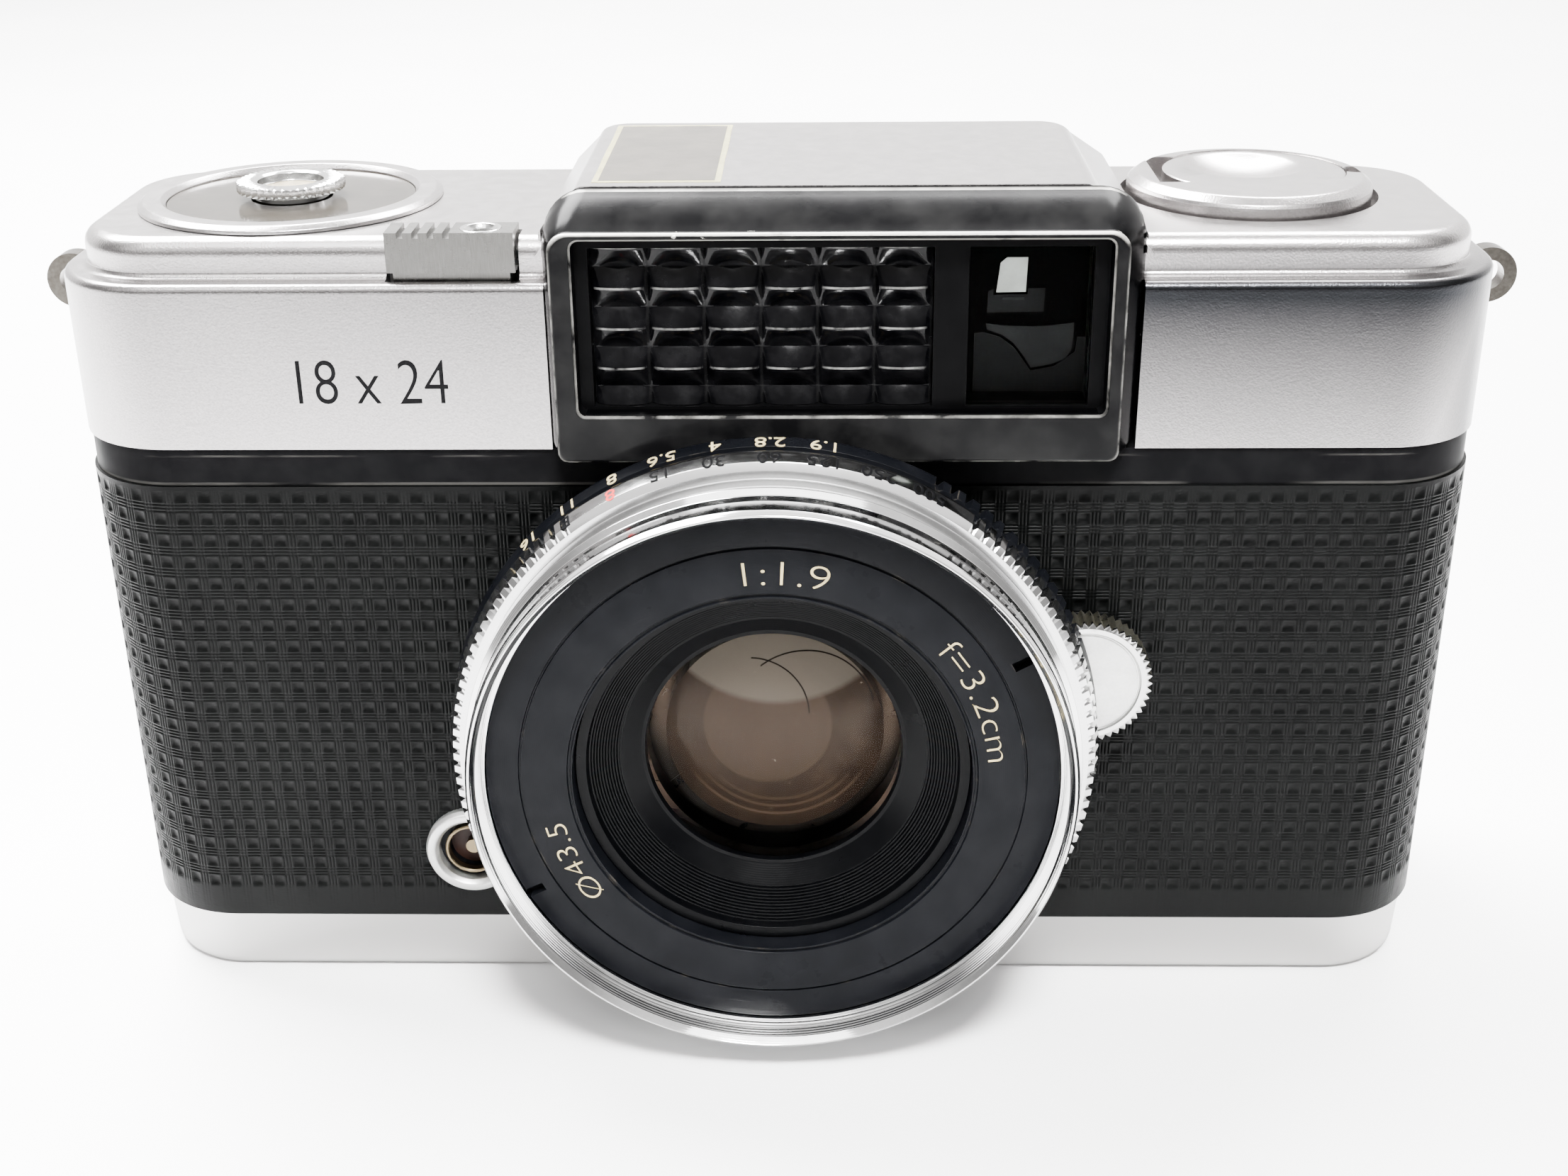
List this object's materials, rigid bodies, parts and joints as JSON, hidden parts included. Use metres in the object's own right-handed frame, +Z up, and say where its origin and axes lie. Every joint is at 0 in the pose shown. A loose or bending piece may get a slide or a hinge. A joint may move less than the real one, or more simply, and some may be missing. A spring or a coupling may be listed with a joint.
{
  "type": "half frame camera",
  "caption": "Compact half frame film camera with a collar of control rings round its lens, a light meter window, a frame counter and a slide-off back.",
  "frame": {"origin": "centre of the tripod socket's mouth, on the underside of the bottom cover", "axes": "+X to the right as the camera is seen from the front, +Y from the lens to the back, +Z up"},
  "size_m": [0.1138, 0.0436, 0.0654],
  "materials": {
    "satin_chrome": "satin chrome plate with a fine grain",
    "polished_chrome": "polished chrome plate",
    "black_enamel": "gloss black enamel, worn at the edges",
    "black_anodised": "black anodised aluminium",
    "leatherette": "black embossed leatherette",
    "optical_glass": "clear coated glass",
    "cell_lens": "dark moulded lenslets",
    "selenium": "dark selenium coating",
    "window_plastic": "slightly yellowed clear window",
    "dial_face": "matt grey printed dial",
    "blade_steel": "blued spring steel",
    "plain_steel": "plain steel",
    "brass_gear": "machined brass",
    "black_plastic": "matt black plastic",
    "insulator": "brown phenolic",
    "needle_red": "red lacquer"
  },
  "bodies": {
    "camera": {"main_casting": "black_enamel", "top_cover": "satin_chrome", "window_frame": "black_enamel", "selenium_window": "cell_lens", "selenium_cell": "selenium", "finder_window": "optical_glass", "finder_tunnel": "black_plastic", "finder_eyepiece": "optical_glass", "meter_window": "window_plastic", "meter_movement": "brass_gear", "counter_bezel": "satin_chrome", "counter_window": "window_plastic", "release_spring": "plain_steel", "front_leatherette": "leatherette", "strap_lugs": "polished_chrome", "pc_socket_shell": "polished_chrome", "pc_socket_insulator": "insulator", "pc_socket_pin": "plain_steel", "cover_screws": "plain_steel", "lens_mount": "black_enamel"},
    "meter_needle": {"meter_needle": "needle_red"},
    "counter": {"counter_dial": "dial_face", "counter_knob": "polished_chrome"},
    "release": {"release_bar": "polished_chrome", "release_plunger": "plain_steel"},
    "rewind_lift": {"rewind_collar": "plain_steel"},
    "rewind": {"rewind_knob": "satin_chrome", "rewind_shaft": "plain_steel"},
    "crank": {"rewind_crank": "polished_chrome"},
    "advance": {"advance_wheel": "black_enamel", "advance_gear": "brass_gear"},
    "spool": {"takeup_spool": "black_plastic"},
    "sprocket": {"sprocket": "black_plastic"},
    "focus": {"focus_ring": "black_anodised", "focus_knob": "polished_chrome"},
    "lens_unit": {"shutter_case": "black_anodised", "filter_ring": "polished_chrome", "name_ring": "black_anodised", "front_cell": "black_anodised", "front_element": "optical_glass", "front_doublet": "optical_glass", "rear_doublet": "optical_glass", "rear_element": "optical_glass", "shutter_blades": "blade_steel"},
    "aperture": {"aperture_ring": "black_anodised"},
    "speed": {"speed_ring": "polished_chrome"},
    "blade_1": {"aperture_blade_1": "blade_steel"},
    "blade_2": {"aperture_blade_2": "blade_steel"},
    "blade_3": {"aperture_blade_3": "blade_steel"},
    "blade_4": {"aperture_blade_4": "blade_steel"},
    "blade_5": {"aperture_blade_5": "blade_steel"},
    "back": {"bottom_cover": "satin_chrome", "back_panel": "black_enamel", "back_leatherette": "leatherette", "pressure_plate": "black_plastic", "tripod_socket": "polished_chrome"},
    "lock_key": {"lock_key": "polished_chrome"},
    "lock_handle": {"lock_handle": "polished_chrome"},
    "rewind_button": {"rewind_button": "polished_chrome"}
  },
  "joints": [
    {"name": "meter_swing", "type": "hinge", "parent": "camera", "child": "meter_needle", "pos_m": [0.004, -0.001, 0.0624], "axis": [0, 0, 1], "range_deg": [-48, 0], "stiffness_Nm_per_rad": 0.000002},
    {"name": "counter_turn", "type": "hinge", "parent": "camera", "child": "counter", "pos_m": [-0.0372, -0.0002, 0.0605], "axis": [0, 0, 1], "continuous": true},
    {"name": "release_press", "type": "slide", "parent": "camera", "child": "release", "axis": [0, 0, -1], "range_m": [0, 0.0015], "stiffness_N_per_m": 300, "deforming": ["release_spring"]},
    {"name": "rewind_pull", "type": "slide", "parent": "camera", "child": "rewind_lift", "axis": [0, 0, 1], "range_m": [0, 0.006]},
    {"name": "rewind_turn", "type": "hinge", "parent": "rewind_lift", "child": "rewind", "pos_m": [0.0362, 0.0008, 0.06], "axis": [0, 0, 1], "continuous": true},
    {"name": "crank_fold", "type": "hinge", "parent": "rewind", "child": "crank", "pos_m": [0.0302, 0.0008, 0.0623], "axis": [0, 1, 0], "range_deg": [-110, 0]},
    {"name": "advance_turn", "type": "hinge", "parent": "camera", "child": "advance", "pos_m": [-0.0372, 0.0016, 0.052], "axis": [0, 0, 1], "continuous": true},
    {"name": "spool_turn", "type": "hinge", "parent": "camera", "child": "spool", "pos_m": [-0.0372, 0.0016, 0.025], "axis": [0, 0, 1], "continuous": true},
    {"name": "sprocket_turn", "type": "hinge", "parent": "camera", "child": "sprocket", "pos_m": [-0.0206, 0.0042, 0.025], "axis": [0, 0, 1], "continuous": true},
    {"name": "focus_turn", "type": "hinge", "parent": "camera", "child": "focus", "pos_m": [0, -0.017, 0.0246], "axis": [0, -1, 0], "range_deg": [-60.5, 0]},
    {"name": "lens_extend", "type": "slide", "parent": "camera", "child": "lens_unit", "axis": [0, -1, 0], "range_m": [0, 0.00133]},
    {"name": "aperture_turn", "type": "hinge", "parent": "lens_unit", "child": "aperture", "pos_m": [0, -0.0201, 0.0246], "axis": [0, -1, 0], "range_deg": [-46.5, 9.3]},
    {"name": "speed_turn", "type": "hinge", "parent": "lens_unit", "child": "speed", "pos_m": [0, -0.0221, 0.0246], "axis": [0, -1, 0], "range_deg": [-37.2, 27.9]},
    {"name": "blade_1_turn", "type": "hinge", "parent": "lens_unit", "child": "blade_1", "pos_m": [0.0123, -0.015, 0.0246], "axis": [0, -1, 0], "range_deg": [-4.4, 21.6]},
    {"name": "blade_2_turn", "type": "hinge", "parent": "lens_unit", "child": "blade_2", "pos_m": [0.0038, -0.015, 0.0363], "axis": [0, -1, 0], "range_deg": [-4.4, 21.6]},
    {"name": "blade_3_turn", "type": "hinge", "parent": "lens_unit", "child": "blade_3", "pos_m": [-0.00995, -0.015, 0.03183], "axis": [0, -1, 0], "range_deg": [-4.4, 21.6]},
    {"name": "blade_4_turn", "type": "hinge", "parent": "lens_unit", "child": "blade_4", "pos_m": [-0.00995, -0.015, 0.01737], "axis": [0, -1, 0], "range_deg": [-4.4, 21.6]},
    {"name": "blade_5_turn", "type": "hinge", "parent": "lens_unit", "child": "blade_5", "pos_m": [0.0038, -0.015, 0.0129], "axis": [0, -1, 0], "range_deg": [-4.4, 21.6]},
    {"name": "back_slide", "type": "slide", "parent": "camera", "child": "back", "axis": [0, 0, -1], "range_m": [0, 0.05]},
    {"name": "lock_key_turn", "type": "hinge", "parent": "back", "child": "lock_key", "pos_m": [0.0362, 0, 0.0006], "axis": [0, 0, 1], "range_deg": [0, 180]},
    {"name": "lock_handle_fold", "type": "hinge", "parent": "lock_key", "child": "lock_handle", "pos_m": [0.0362, 0, 0.00045], "axis": [1, 0, 0], "range_deg": [0, 90]},
    {"name": "rewind_button_press", "type": "slide", "parent": "back", "child": "rewind_button", "axis": [0, 0, 1], "range_m": [0, 0.0012], "stiffness_N_per_m": 200}
  ],
  "couplings": [
    {"joint": "counter_turn", "follows": "advance_turn", "ratio": 0.05},
    {"joint": "spool_turn", "follows": "advance_turn", "ratio": 1},
    {"joint": "sprocket_turn", "follows": "advance_turn", "ratio": -2},
    {"joint": "focus_turn", "follows": "lens_extend", "rad_per_m": -787.4},
    {"joint": "blade_1_turn", "follows": "aperture_turn", "ratio": -0.46237},
    {"joint": "blade_2_turn", "follows": "aperture_turn", "ratio": -0.46237},
    {"joint": "blade_3_turn", "follows": "aperture_turn", "ratio": -0.46237},
    {"joint": "blade_4_turn", "follows": "aperture_turn", "ratio": -0.46237},
    {"joint": "blade_5_turn", "follows": "aperture_turn", "ratio": -0.46237}
  ]
}
